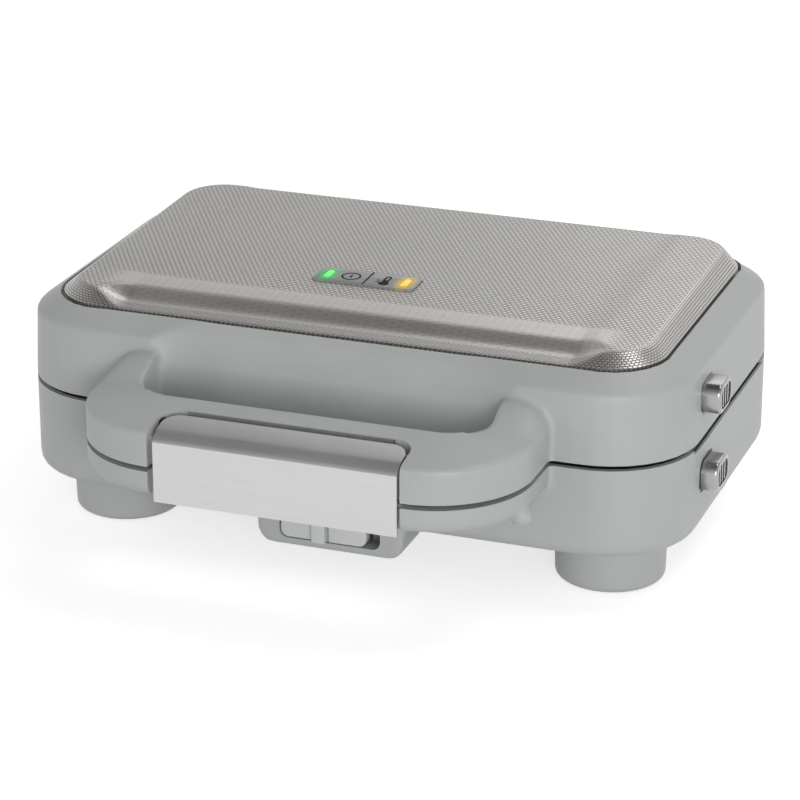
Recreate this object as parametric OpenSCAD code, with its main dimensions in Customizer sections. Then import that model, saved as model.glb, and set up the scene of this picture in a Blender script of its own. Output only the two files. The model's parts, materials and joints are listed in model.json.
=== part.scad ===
// Two-portion hinged toasting press: a base and a lid that close on two cooking plates, with a
// split carrying handle, a front latch, a slide lock and two plate-release buttons.
// Drawn with x = 0 on the centre plane, y = 0 on the front wall and z = 0 on the ground.

/* [Body] */
// Width of the base and the lid
body_w = 320; // [304:1:340]
// Depth from the front wall to the rear wall
body_d = 201; // [194:1:214]
// Corner radius seen from above
corner_r = 42; // [34:1:46]
// Moulded wall thickness
wall_t = 2.6; // [2.2:0.1:3]
// Height of the base rim above the ground
rim_z = 68.5; // [66:0.5:74]
// Gap between the closed base and lid
seam_gap = 2.4; // [2:0.1:3]
// Round on the lower edge of the base
base_round = 5; // [3:0.5:6]
// Height of the lid's upright wall
lid_wall_h = 31.5; // [30:0.5:36]
// Height of the sloping shoulder above that wall
shoulder_h = 8.2; // [7:0.2:10]
// Lean of the lid's wall from its rim to the crease
lid_lean = 1.2; // [0.5:0.1:2]
// Depth of the finger scoop in the lid's front
scoop_depth = 4; // [2:0.5:5]
// Radius of the scoop's ends seen from above
scoop_r = 60; // [50:1:64]
// Drop of the rim along the two sides
side_drop = 1.6; // [1:0.1:2]

/* [Feet] */
// Height of the feet
foot_h = 26; // [24:0.5:28]
// Radius of a foot at its top
foot_r = 25.8; // [20:0.2:27]
// Distance of the foot centres from the side walls
foot_side = 40; // [36:1:48]
// Distance of the foot centres from the front and rear walls
foot_end = 45; // [40:1:52]
// Radius of the rubber pads
pad_r = 18; // [14:0.5:20]
// Distance between the vents in the floor
vent_pitch = 7; // [6:0.5:8]
// How far the pads stand out of the feet
pad_proud = 0.8; // [0.5:0.1:1.2]
// Thickness of the pads
pad_t = 2.4; // [2:0.1:3]

/* [Handle] */
// Set-back of the handle's arms from the side walls
handle_side = 56.2; // [52:0.2:62]
// Reach of the handle in front of the wall
handle_reach = 67.2; // [60:0.2:74]
// Outer corner radius of the handle
handle_r = 45; // [36:1:50]
// Width of each arm
arm_w = 21.3; // [18:0.1:23]
// Depth of the front bar
bar_d = 34; // [31:0.5:36]
// Inner corner radius of the finger gap
gap_r = 22; // [16:1:26]
// Height of the lower half of the handle
handle_low_h = 11.5; // [10:0.5:13]
// Height of the upper half's upright edge
handle_up_h = 15; // [13:0.5:17]
// Rise of the crowned top from the edge to the finger gap
handle_crown = 6; // [4:0.2:7]
// Extra rise of the arms where they meet the lid
arm_rise = 6.5; // [4:0.5:7]

/* [Top panel] */
// Set-back of the steel panel from the side walls
panel_side = 14.8; // [13:0.2:20]
// Set-back of the panel from the front and rear walls
panel_end = 13.8; // [13:0.2:20]
// Corner radius of the panel
panel_r = 26.6; // [20:0.2:28]
// Height of the panel's top above the shoulder
panel_rise = 6.4; // [5:0.2:7]
// Width of the panel's bevelled edge
panel_bevel = 7; // [5:0.5:9]
// Edge height of the panel below the bevel
panel_lip = 1.2; // [0.8:0.1:1.6]
// Thickness of the panel's sheet steel
panel_t = 1.2; // [0.8:0.1:1.4]
// Width of the shadow gap round the panel
panel_gap = 1.2; // [0.8:0.1:1.6]
// Depth of the recess that seats the panel
panel_seat = 1.2; // [0.8:0.1:1.4]
// Set-back of the pressed step's ends from the panel's side edges
step_in = 22.2; // [20:0.2:34]
// Depth of that step from the panel's front edge
step_d = 17; // [12:0.5:20]

/* [Lamps] */
// Width of the indicator bezel
bezel_w = 46.6; // [42:0.2:60]
// Depth of the indicator bezel
bezel_d = 17; // [15:0.5:20]
// Sideways place of the bezel's centre
bezel_x = -8.4; // [-20:0.2:20]
// Distance of the bezel's centre from the front wall
bezel_y = 74.2; // [64:0.2:90]
// Width of a lamp lens
lens_w = 4.6; // [4:0.1:6]
// Length of a lamp lens
lens_l = 9; // [7:0.5:11]
// Distance of the lens centres from the bezel's ends
lens_end = 6.5; // [5:0.1:8]

/* [Cooking plates] */
// Room beside the pockets, for the plates' catches
catch_room = 33; // [32:0.5:38]
// Room in front of the pockets and behind them
end_room = 36.5; // [35:0.5:42]
// Hollow of the pocket below the plate's face
pocket_h = 19; // [14:0.5:19]
// Width of the land between the pockets
pocket_land = 10; // [8:0.5:12]
// Flange round the pockets
plate_flange = 10; // [9:0.5:12]
// Thickness of the plate
plate_t = 3; // [2.5:0.1:3.4]
// Height of the diagonal crease ridge above the pocket floor
ridge_h = 11; // [7:0.5:11]
// Width of the ridge at its foot
ridge_w = 14; // [10:0.5:18]
// Gap between the closed plates
plates_gap = 0.6; // [0.4:0.1:1]

/* [Heating] */
// Radius of the tubular heating element
element_r = 3.3; // [2.8:0.1:3.4]
// Distance between the element's two runs
element_pitch = 70; // [60:1:80]
// Thickness of the sheet-steel reflector
sheet_t = 1; // [0.8:0.1:1.4]
// Width of the terminal block
terminal_w = 32; // [28:1:36]
// Depth of the terminal block
terminal_d = 12; // [10:0.5:14]
// Height of the terminal block
terminal_h = 9; // [8:0.5:11]
// Radius of the thermostat disc
thermostat_r = 8; // [7:0.5:9]

/* [Lamp board] */
// Depth of the lamp board
board_d = 14; // [12:0.5:16]
// How far the board reaches past the bezel's ends
board_over = 3; // [2:0.5:4]
// Thickness of the board
board_t = 1.4; // [1:0.1:1.8]
// Gap between the board and the roof
board_drop = 2.2; // [1.8:0.1:2.6]

/* [Screws] */
// Length of the base screws inside the frame's bosses
screw_grip = 7; // [6:0.5:8]
// Length of the lid screws
lid_screw_l = 17; // [15:0.5:18]
// Radius of the screws
screw_r = 1.6; // [1.4:0.1:1.8]
// Radius of the screw bosses
boss_r = 5; // [4.5:0.1:5.5]
// Distance of the bosses from the front and rear walls
boss_in = 17; // [16:0.5:18]

/* [Hinge] */
// Distance of the hinge axis behind the rear wall
hinge_back = 7.5; // [7.2:0.1:9]
// Radius of the hinge knuckles
knuckle_r = 6; // [5:0.1:6.2]
// Radius of the hinge pins
pin_r = 2.5; // [2:0.1:3]
// Distance of each hinge from its side wall
hinge_in = 60; // [56:1:80]
// Width of the lid's knuckle
knuckle_w = 24; // [18:1:28]
// Width of each ear on the base
ear_w = 10; // [8:0.5:12]

/* [Latch] */
// Width of the latch plate
latch_w = 114; // [100:1:118]
// Height of the latch plate's face
latch_h = 31.5; // [31:0.5:33]
// Thickness of the latch plate's steel
latch_t = 1.4; // [1:0.1:1.6]
// Set-back of the latch plate behind the handle's front
latch_back = 0.6; // [0.3:0.1:1]
// Depth of the flange that bends back over the handle
latch_flange = 17.6; // [15:0.2:20]
// Gap at the sides of the latch plate
latch_side_gap = 1.5; // [1:0.1:2]
// Gap behind the latch plate's flange
latch_back_gap = 4.5; // [4:0.1:5]
// How far the latch pin reaches past each side of the plate
pin_over = 7.5; // [6:0.5:9]
// Radius of the latch pin
latch_pin_r = 1.5; // [1.2:0.1:1.8]

/* [Slide lock] */
// Width of the lock housing
lock_w = 71; // [66:1:78]
// Height of the lock housing's lower edge above the ground
lock_z = 11; // [9:0.5:13]
// Width of the slot
slot_w = 49; // [44:0.5:52]
// Height of the slot
slot_h = 10.4; // [9:0.2:11]
// Width of the slider
slider_w = 41.9; // [36:0.1:42]
// Travel of the slider
lock_travel = 6.5; // [4:0.1:6.5]
// Width of the slider's rib
slider_rib_w = 6.4; // [5:0.1:8]

/* [Release buttons] */
// Depth of a button from front to rear
button_d = 20; // [16:0.5:22]
// Height of a button
button_h = 14; // [11:0.5:15]
// How far a button stands out of the side wall
button_proud = 8; // [6:0.5:10]
// Distance of the buttons' centres from the front wall
button_y = 57; // [54:0.5:62]
// Drop of the lower button's centre below the seam
low_button_drop = 17.9; // [17.5:0.1:20]
// Rise of the upper button's centre above the seam
up_button_rise = 19.5; // [17.5:0.1:20]
// Distance of the spring seats from the side wall
spring_in = 14; // [13:0.2:14.4]
// Stroke of a button
button_travel = 3; // [2:0.1:3]

/* [Clearances] */
// Gap round a button in its hole
button_gap = 0.3; // [0.25:0.05:0.5]
// Radial running gap of pins in their bores
run_gap = 0.05; // [0.03:0.01:0.08]
// Side gap between a knuckle and its ears
knuckle_gap = 0.4; // [0.3:0.05:0.6]
// Gap of pieces that drop into a seat
seat_gap = 0.2; // [0.1:0.05:0.3]
// Gap between pieces that slide past each other
slide_gap = 0.3; // [0.25:0.05:0.4]

/* [Hidden] */
eps = 0.01;
// Thickness of the outlines that a blended form is drawn through
layer = 0.2;
side_x = body_w / 2;
handle_w = body_w - 2 * handle_side;
step_w = 2 * (side_x - panel_side - step_in);
pocket_w = side_x - catch_room - pocket_land / 2;
pocket_d = body_d - 2 * end_room;
hinge_x = side_x - hinge_in;
mid_y = body_d / 2;
// Heights of the seam, the lid and the handle
seam_z = rim_z + seam_gap / 2;
lid_z = rim_z + seam_gap;
crease_z = lid_z + lid_wall_h;
shoulder_z = crease_z + shoulder_h;
shoulder_in = panel_end - panel_gap;
panel_z = shoulder_z + panel_rise;
roof_z = shoulder_z - panel_seat - wall_t;
floor_z = foot_h + wall_t;
handle_low_z = rim_z - handle_low_h;
handle_edge_z = lid_z + handle_up_h;
gap_half = handle_w / 2 - arm_w;
// Hinge axis, and the shift that centres the footprint on the origin
hinge_y = body_d + hinge_back;
back_y = hinge_y + knuckle_r;
shift = [-button_proud / 2, (handle_reach - back_y) / 2, 0];
// Cooking plates, as distances from the middle of the seam
face_d = plates_gap / 2;
flange_d = face_d + plate_t;
frame_t = 4.4;
frame_d = flange_d + frame_t;
tub_d = face_d + pocket_h + plate_t;
tub_x = pocket_land / 2 + pocket_w + plate_t;
tub_y = pocket_d / 2 + plate_t;
plate_x = tub_x + plate_flange;
plate_y = tub_y + plate_flange;
element_d = tub_d + seat_gap / 2 + element_r;
tray_d = element_d + element_r + 2.7;
tray_x = tub_x + 1 + sheet_t;
tray_y = tub_y + 1 + sheet_t;
open_x = tub_x + 2.4;
open_y = tub_y + 2.4;
// Catch of the plates: tab, window and nose
tab_x = plate_x - 2.5;
tab_t = 1.5;
tab_end = flange_d + 11.2;
window_lo = flange_d + 5.2;
window_hi = flange_d + 8.7;
catch_y = button_y - 5.5;
catch_w = 5;
post_x = tab_x - 4;
low_stem_x = side_x - wall_t - slide_gap - 1.5;
up_stem_x = low_stem_x - lid_lean;
spring_y = button_y + 5;
spring_seat_x = side_x - spring_in;
spring_r = 4;
// Screw bosses, clear of the plates at the front and rear
boss_x = 0.3875 * side_x;
boss_top = foot_h + 20;
// Latch pivot, under the back edge of the flange
latch_y = -handle_reach + latch_back;
latch_top_z = handle_edge_z + 0.2;
latch_pivot_y = latch_y + latch_flange - 2;
latch_pivot_z = handle_edge_z - 0.9;
latch_barrel_r = 2.7;
latch_face_y = -handle_reach + 4.2;
latch_floor_z = handle_edge_z - 2.6;
carrier_w = latch_w - 6;
catch_nose = 0.8;
// Slide lock
lock_r = 8;
lock_d = 28;
slot_z = lock_z + 4;
slot_depth = 6;
lock_skin = 2;
slider_x0 = -slot_w / 2 + 0.6;

// Points of an arc from angle a0 to a1
function arc(cx, cy, r, a0, a1, n = 14) =
  [for (i = [0:n]) let (a = a0 + (a1 - a0) * i / n) [cx + r * cos(a), cy + r * sin(a)]];

module rounded(x0, x1, y0, y1, r, n = 14)
  polygon(concat(
    arc(x1 - r, y1 - r, r, 0, 90, n), arc(x0 + r, y1 - r, r, 90, 180, n),
    arc(x0 + r, y0 + r, r, 180, 270, n), arc(x1 - r, y0 + r, r, 270, 360, n)));

module slab(x0, x1, y0, y1, r, z0, z1, n = 8)
  translate([0, 0, z0]) linear_extrude(z1 - z0) rounded(x0, x1, y0, y1, r, n);

// Box from its low corner to its high corner
module block(low, high)
  translate(low) cube(high - low);

module plan(inset = 0)
  rounded(-side_x + inset, side_x - inset, inset, body_d - inset, corner_r - inset);

// Closed form through outlines given as [height, inset]
module body_form(levels)
  hull() for (l = levels) translate([0, 0, l[0]]) linear_extrude(layer) plan(l[1]);

module handle_plan(inset, n)
  rounded(-handle_w / 2 + inset, handle_w / 2 - inset, -handle_reach + inset, 18, handle_r - inset, n);

module handle_form(levels, n = 14)
  hull() for (l = levels) translate([0, 0, l[0]]) linear_extrude(layer) handle_plan(l[1], n);

module finger_gap(z0, z1)
  slab(-gap_half, gap_half, -handle_reach + bar_d, 60, gap_r, z0, z1, 12);

module x_rod(x0, x1, y, z, r)
  translate([x0, y, z]) rotate([0, 90, 0]) cylinder(r = r, h = x1 - x0, $fn = 48);

module y_rod(y0, y1, x, z, r)
  translate([x, y0, z]) rotate([-90, 0, 0]) cylinder(r = r, h = y1 - y0, $fn = 48);

// Rounded block that lies along x, sized by its section in y and z
module x_block(x0, x1, y, z, d, h, r)
  translate([x0, y, z]) rotate([90, 0, 90])
    linear_extrude(x1 - x0) rounded(-d / 2, d / 2, -h / 2, h / 2, r, 6);

// Coil of wire along +x from the origin
module coil(length, radius, wire, turns) {
  steps = turns * 12;
  sides = 6;
  function ring(i) =
    let (t = i / steps, a = 360 * turns * t)
    [for (s = [0:sides - 1]) let (b = 360 * s / sides, q = radius - wire + wire * cos(b))
      [wire + (length - 2 * wire) * t + wire * sin(b), q * cos(a), q * sin(a)]];
  points = [for (i = [0:steps]) each ring(i)];
  walls = [for (i = [0:steps - 1], s = [0:sides - 1]) let (n = (s + 1) % sides)
    each [[i * sides + s, i * sides + n, (i + 1) * sides + n],
          [i * sides + s, (i + 1) * sides + n, (i + 1) * sides + s]]];
  start = [for (s = [1:sides - 2]) [0, s + 1, s]];
  last = steps * sides;
  end = [for (s = [1:sides - 2]) [last, last + s, last + s + 1]];
  polyhedron(points, concat(walls, start, end));
}

module foot_at(sx, sy)
  translate([sx * (side_x - foot_side), mid_y + sy * (mid_y - foot_end), 0]) children();

module bosses_at() for (sx = [-1, 1], sy = [-1, 1])
  translate([sx * boss_x, mid_y + sy * (mid_y - boss_in), 0]) children();

// Lower half: distances from the seam run downwards
module below_seam() translate([0, 0, seam_z]) mirror([0, 0, 1]) children();
module above_seam() translate([0, 0, seam_z]) children();

// Base

module hinge_ears() for (sx = [-1, 1], s = [-1, 1]) {
  ear_mid = sx * hinge_x + s * (knuckle_w / 2 + knuckle_gap + ear_w / 2);
  x_rod(ear_mid - ear_w / 2, ear_mid + ear_w / 2, hinge_y, seam_z, knuckle_r);
  block([ear_mid - ear_w / 2, body_d - wall_t, seam_z - knuckle_r + 0.8],
        [ear_mid + ear_w / 2, hinge_y, rim_z - 1.2]);
}

module hinge_bores(r) for (sx = [-1, 1])
  x_rod(sx * hinge_x - knuckle_w, sx * hinge_x + knuckle_w, hinge_y, seam_z, r);

// Housing of the slide lock, hung from the front of the floor
module lock_housing()
  translate([0, lock_d, 0]) rotate([90, 0, 0])
    linear_extrude(lock_d) rounded(-lock_w / 2, lock_w / 2, lock_z, floor_z + lock_r, lock_r, 6);

module lock_cuts() {
  slab_y = slot_depth + lock_skin;
  translate([0, slot_depth, 0]) rotate([90, 0, 0]) linear_extrude(slot_depth + 2)
    rounded(-slot_w / 2, slot_w / 2, slot_z, slot_z + slot_h, 2.5, 6);
  block([-4.5, 0, slot_z + 3], [4.5 + lock_travel, slab_y + 1, slot_z + 7]);
  block([-16, slab_y, slot_z - 0.5], [18 + lock_travel, slab_y + 6, slot_z + slot_h + 0.5]);
}

// Vents in the floor, one row between each pair of side feet
module floor_vents() for (sx = [-1, 1], i = [-3:3])
  translate([sx * (boss_x + 12) + i * vent_pitch, mid_y, foot_h - 1]) linear_extrude(wall_t + 2)
    rounded(-1.5, 1.5, -28, 28, 1.4, 4);

module button_hole(drop) {
  x_block(side_x - 12, side_x + 2, button_y, drop, button_d + 2 * button_gap,
          button_h + 2 * button_gap, 4.5 + button_gap);
  x_block(side_x - 0.7, side_x + 2, button_y, drop, button_d + 2.6, button_h + 2.6, 5.6);
}

module spring_seat(drop, shell_d)
  block([spring_seat_x - 2.5, spring_y - spring_r, drop - 5],
        [spring_seat_x, spring_y + spring_r, shell_d]);

// Raised lip that runs along each side, inside the seam
module rim_lip()
  rim_strip(side_x - 2 * wall_t, side_x - wall_t + 0.3, rim_z - 6, rim_z + seam_gap - 0.8, 0);

module rim_strip(x0, x1, z0, z1, past) for (sx = [-1, 1])
  block([min(sx * x0, sx * x1), corner_r - 4 - past, z0],
        [max(sx * x0, sx * x1), body_d - corner_r + past, z1]);

// Lowered rim outside the lip, and the groove between the two
module rim_drop() {
  rim_strip(side_x - 1.3, side_x + 1, rim_z - side_drop, rim_z + 1, 1);
  rim_strip(side_x - wall_t + 0.1, side_x - 1.2, rim_z - 4, rim_z + 3, 1);
}

// Nose on the lower handle that the latch's hook bead sits under
module catch_nose_bar() {
  z0 = latch_top_z - latch_h + 4.6 + slide_gap;
  translate([-40, 0, 0]) rotate([90, 0, 90]) linear_extrude(80) polygon([
    [latch_face_y + 1, z0], [latch_face_y - catch_nose, z0], [latch_face_y - catch_nose, z0 + 1],
    [latch_face_y, z0 + 3.4], [latch_face_y + 1, z0 + 3.4]]);
}

module base_shell() color([0.68, 0.69, 0.68]) {
  catch_nose_bar();
  base_body();
}

module base_body() difference() {
  union() {
    difference() {
      union() {
        body_form([[foot_h, base_round], [foot_h + base_round * 0.134, base_round / 2],
                   [foot_h + base_round / 2, base_round * 0.134], [foot_h + base_round, 0],
                   [rim_z - layer, 0]]);
        difference() {
          handle_form([[handle_low_z, 4], [handle_low_z + 1.2, 1.2], [handle_low_z + 4, 0],
                       [rim_z - layer, 0]], 12);
          finger_gap(handle_low_z - 1, rim_z + 1);
        }
      }
      translate([0, 0, floor_z]) linear_extrude(rim_z) plan(wall_t);
    }
    intersection() {
      union() {
        lock_housing();
        bosses_at() translate([0, 0, foot_h]) cylinder(r = boss_r, h = boss_top - foot_h);
        below_seam() spring_seat(low_button_drop, seam_z - foot_h - 1);
      }
      translate([0, 0, 0]) linear_extrude(rim_z) plan(0.4);
    }
    hinge_ears();
    rim_lip();
  }
  rim_drop();
  lock_cuts();
  floor_vents();
  hinge_bores(pin_r + run_gap);
  below_seam() button_hole(low_button_drop);
  y_rod(body_d - wall_t - 3, body_d + 1, 0, gland_z, gland_r + seat_gap / 2);
  bosses_at() {
    translate([0, 0, foot_h - 1]) cylinder(r = screw_r + run_gap, h = boss_top - foot_h + 2, $fn = 32);
    translate([0, 0, foot_h - 1]) cylinder(r = 3.6, h = 3, $fn = 32);
  }
  block([-latch_w / 2 - latch_side_gap, -handle_reach - 1, handle_low_z - 1],
        [latch_w / 2 + latch_side_gap, latch_face_y, rim_z + 1]);
}

module foot(sx, sy) color([0.67, 0.68, 0.67]) foot_at(sx, sy) difference() {
  rotate_extrude($fn = 96) polygon(concat(
    [[0, pad_proud]], arc(foot_r - 3.6, pad_proud + 3, 3, 270, 357, 6), [[foot_r, foot_h], [0, foot_h]]));
  translate([0, 0, -1]) cylinder(r = pad_r + seat_gap, h = pad_t + 1, $fn = 64);
}

module foot_pads() color([0.16, 0.16, 0.17]) for (sx = [-1, 1], sy = [-1, 1])
  foot_at(sx, sy) cylinder(r = pad_r, h = pad_t, $fn = 64);

// Parts that both halves share, as distances from the seam

module plate_ridge(dir) translate([0, 0, face_d + pocket_h]) rotate([0, 0, dir]) rotate([90, 0, 0])
  translate([0, 0, -pocket_d]) linear_extrude(2 * pocket_d)
    polygon([[-ridge_w / 2, 1], [-ridge_w / 2, 0], [-1.6, 0.6 - ridge_h], [0, -ridge_h],
             [1.6, 0.6 - ridge_h], [ridge_w / 2, 0], [ridge_w / 2, 1]]);

module pocket_plan(sx, grow = 0) {
  x0 = pocket_land / 2;
  mid = sx * (x0 + pocket_w / 2);
  rounded(mid - pocket_w / 2 - grow, mid + pocket_w / 2 + grow,
          mid_y - pocket_d / 2 - grow, mid_y + pocket_d / 2 + grow, 14 + grow, 6);
}

module pocket(sx) {
  mid = sx * (pocket_land + pocket_w) / 2;
  difference() {
    hull() {
      translate([0, 0, face_d - 1]) linear_extrude(1) pocket_plan(sx);
      translate([0, 0, face_d + pocket_h - layer]) linear_extrude(layer) pocket_plan(sx, -3);
    }
    translate([mid, mid_y, 0]) plate_ridge(sx * atan(pocket_w / pocket_d));
  }
}

// Tab that hangs from the plate's flange, with the window for the catch
module plate_tab() difference() {
  block([tab_x, catch_y - 6, flange_d - eps], [tab_x + tab_t, catch_y + 6, tab_end]);
  block([tab_x - 1, catch_y - catch_w / 2 - 0.6, window_lo],
        [tab_x + tab_t + 1, catch_y + catch_w / 2 + 0.6, window_hi]);
}

module cooking_plate() difference() {
  union() {
    slab(-plate_x, plate_x, mid_y - plate_y, mid_y + plate_y, 18, face_d, flange_d);
    slab(-tub_x, tub_x, mid_y - tub_y, mid_y + tub_y, 14, flange_d - eps, tub_d);
    plate_tab();
    // Front grip that lifts the plate out
    slab(-24, 24, mid_y - plate_y - 5, mid_y, 6, face_d, flange_d);
  }
  for (sx = [-1, 1]) pocket(sx);
}

module inner_frame() difference() {
  translate([0, 0, flange_d]) linear_extrude(frame_t) plan(wall_t + lid_lean + seat_gap);
  slab(-open_x, open_x, mid_y - open_y, mid_y + open_y, 12, flange_d - 1, frame_d + 1);
  block([open_x - 1, catch_y - 8, flange_d - 1], [tab_x + tab_t + 2.4, catch_y + 8, frame_d + 1]);
}

module element() {
  half = element_pitch / 2;
  x_run = tub_x - half - 12;
  translate([0, mid_y, element_d]) {
    for (sy = [-1, 1]) x_rod(-x_run, x_run, sy * half, 0, element_r);
    translate([-x_run, 0, 0]) rotate([0, 0, 90]) rotate_extrude(angle = 180, $fn = 64)
      translate([half, 0]) circle(r = element_r, $fn = 24);
    translate([x_run, 0, 0]) rotate([0, 0, 10]) rotate_extrude(angle = 80, $fn = 64)
      translate([half, 0]) circle(r = element_r, $fn = 24);
    translate([x_run, 0, 0]) rotate([0, 0, -90]) rotate_extrude(angle = 80, $fn = 64)
      translate([half, 0]) circle(r = element_r, $fn = 24);
  }
}

module reflector() difference() {
  union() {
    difference() {
      slab(-tray_x, tray_x, mid_y - tray_y, mid_y + tray_y, 12, frame_d, tray_d + sheet_t);
      slab(-tray_x + sheet_t, tray_x - sheet_t, mid_y - tray_y + sheet_t, mid_y + tray_y - sheet_t,
           12 - sheet_t, frame_d - 1, tray_d);
    }
    // Saddles that carry the element
    for (sx = [-1, 1], sy = [-1, 1])
      block([sx * 60 - 5, mid_y + sy * element_pitch / 2 - 6, element_d + element_r - 2],
            [sx * 60 + 5, mid_y + sy * element_pitch / 2 + 6, tray_d + eps]);
  }
  translate([0, mid_y, element_d]) for (sy = [-1, 1])
    x_rod(-80, 80, sy * element_pitch / 2, 0, element_r + seat_gap / 2);
  block([tub_x, catch_y - 4, frame_d - 1], [tray_x + 2, catch_y + 4, tab_end + 6]);
}

// Catch bar: stop plate behind the wall, bar under the tab, post and nose in the window
module catch_bar(drop, stem_x) {
  bar_d0 = tab_end + 0.9;
  x_block(stem_x, stem_x + 1.5, button_y, drop, button_d + 3.2, button_h + 3.2, 4.5);
  block([post_x, catch_y - catch_w / 2, bar_d0], [stem_x + eps, catch_y + catch_w / 2, bar_d0 + 3]);
  block([post_x, catch_y - catch_w / 2, window_lo + 0.4],
        [post_x + 2, catch_y + catch_w / 2, bar_d0 + eps]);
  block([post_x, catch_y - catch_w / 2, window_lo + 0.4],
        [tab_x + tab_t + 0.7, catch_y + catch_w / 2, window_hi - 0.4]);
}

module release_button(drop, stem_x) difference() {
  face_x = side_x + button_proud;
  union() {
    x_block(stem_x + 1.5, face_x - 0.8, button_y, drop, button_d, button_h, 4.5);
    x_block(face_x - 0.9, face_x, button_y, drop, button_d - 1.2, button_h - 1.2, 3.9);
  }
  // Grooves that leave three upright ribs inside a rim
  for (i = [-1.5:1:1.5])
    x_block(face_x - 1, face_x + 1, button_y + i * 4.2, drop, 2.4, button_h - 4.4, 1.1);
}

module button_spring(drop, stem_x)
  translate([spring_seat_x, spring_y, drop]) coil(stem_x - spring_seat_x, spring_r, 0.5, 5);

module screws(z0, reach) bosses_at() {
  translate([0, 0, z0]) cylinder(r = 3.3, h = 1.8, $fn = 32);
  translate([0, 0, z0]) cylinder(r = screw_r, h = reach, $fn = 24);
}

// Inner pieces of the base

gland_z = 46;
gland_r = 6;
gland_bore_r = 3.6;

// Frame of the base, clear of the rim's lip, on four posts that the screws reach through the floor
module base_frame() color([0.26, 0.27, 0.27]) difference() {
  union() {
    below_seam() inner_frame();
    bosses_at() translate([0, 0, boss_top]) cylinder(r = boss_r, h = seam_z - frame_d - boss_top + 1);
  }
  rim_strip(side_x - 2 * wall_t - seat_gap, side_x, rim_z - 8, rim_z + 1, 1);
  bosses_at() translate([0, 0, boss_top - 1]) cylinder(r = screw_r + run_gap, h = screw_grip + 3, $fn = 32);
}
module lower_plate() color([0.58, 0.56, 0.53]) below_seam() cooking_plate();
module lower_element() color([0.35, 0.33, 0.31]) below_seam() element();
module lower_reflector() color([0.78, 0.78, 0.77]) below_seam() reflector();

// Terminal block on the floor, in front of the cord gland
module terminal_block() color([0.86, 0.84, 0.78]) {
  y0 = body_d - wall_t - 2 * terminal_d;
  difference() {
    block([-terminal_w / 2, y0, floor_z], [terminal_w / 2, y0 + terminal_d, floor_z + terminal_h]);
    for (i = [-1:1])
      y_rod(y0 - 1, y0 + terminal_d + 1, i * terminal_w / 3.2, floor_z + terminal_h * 0.55, 1.8);
  }
}

module cord_gland() color([0.2, 0.2, 0.21]) difference() {
  union() {
    y_rod(body_d, body_d + 2.5, 0, gland_z, gland_r + 3);
    y_rod(body_d - wall_t - 3, body_d + 0.5, 0, gland_z, gland_r);
  }
  y_rod(body_d - wall_t - 4, body_d + 4, 0, gland_z, gland_bore_r);
}

module base_screws() color([0.6, 0.6, 0.62]) screws(foot_h + 0.2, boss_top - foot_h + screw_grip);

module hinge_pins() color([0.7, 0.7, 0.72]) for (sx = [-1, 1]) {
  half = knuckle_w / 2 + knuckle_gap + ear_w;
  x_rod(sx * hinge_x - half, sx * hinge_x + half, hinge_y, seam_z, pin_r);
}

module lower_button_spring() color([0.62, 0.62, 0.63])
  below_seam() button_spring(low_button_drop, low_stem_x);

// Lid

// Scoop in front of the lid, through outlines with widely rounded ends
module scoop(back = 0) hull()
  for (l = [[lid_z - 1, 0], [crease_z - 20, 0], [crease_z - 11, 1], [crease_z - 3, 2.6],
            [shoulder_z - 4.5, 5.2], [shoulder_z + 0.6, shoulder_in - scoop_depth + 0.4]])
    translate([0, 0, l[0]]) linear_extrude(layer) let (y = scoop_depth + l[1] + back)
      rounded(-gap_half - scoop_r + 22, gap_half + scoop_r - 22, y - 2 * scoop_r, y, scoop_r);

// Roof line of the upper handle: rises inwards from its outer edge
function roof_rise(inset) = handle_crown * (0.16 + 0.84 * pow(inset / bar_d, 0.75));

module arm_blend(sx) {
  out = handle_w / 2;
  hull() {
    translate([0, -20, 0]) rotate([90, 0, 0]) linear_extrude(layer) polygon([
      [sx * out, lid_z], [sx * out, handle_edge_z - 0.1], [sx * (out - 1.6), handle_edge_z + 0.8],
      [sx * (out - 10), handle_edge_z + roof_rise(10) - 0.1],
      [sx * gap_half, handle_edge_z + roof_rise(arm_w) - 0.1], [sx * gap_half, lid_z]]);
    translate([0, 5, 0]) rotate([90, 0, 0]) linear_extrude(layer) polygon([
      [sx * out, lid_z], [sx * out, handle_edge_z], [sx * (out - 2.5), handle_edge_z + 4.6],
      [sx * (out - 7), handle_edge_z + 8.8], [sx * (out - 13), handle_edge_z + arm_rise + 5.2],
      [sx * (out - 18), handle_edge_z + arm_rise + 5.4], [sx * gap_half, handle_edge_z + arm_rise + 3],
      [sx * gap_half, lid_z]]);
  }
}

module upper_handle() {
  difference() {
    handle_form([[lid_z, 0], [handle_edge_z, 0],
      for (inset = [1.6, 8, 15, 22, bar_d]) [handle_edge_z + roof_rise(inset), inset]]);
    finger_gap(lid_z - 1, panel_z);
    translate([-handle_w, 6, lid_z - 1]) cube([2 * handle_w, 40, 60]);
  }
  for (sx = [-1, 1]) arm_blend(sx);
}

module lid_knuckles() for (sx = [-1, 1]) {
  x_rod(sx * hinge_x - knuckle_w / 2, sx * hinge_x + knuckle_w / 2, hinge_y, seam_z, knuckle_r);
  block([sx * hinge_x - knuckle_w / 2, body_d - wall_t, lid_z + 0.4],
        [sx * hinge_x + knuckle_w / 2, hinge_y, seam_z + knuckle_r - 0.8]);
}

module panel_plan(grow = 0)
  rounded(-side_x + panel_side - grow, side_x - panel_side + grow,
          panel_end - grow, body_d - panel_end + grow, panel_r + grow);

module lid_cavity() difference() {
  body_form([[lid_z - 1, wall_t], [crease_z - 2, wall_t + lid_lean],
             [roof_z - layer, shoulder_in + wall_t + 2]]);
  scoop(wall_t);
}

module lamp_at(side)
  translate([bezel_x + side * (bezel_w / 2 - lens_end), bezel_y, 0]) children();

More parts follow.
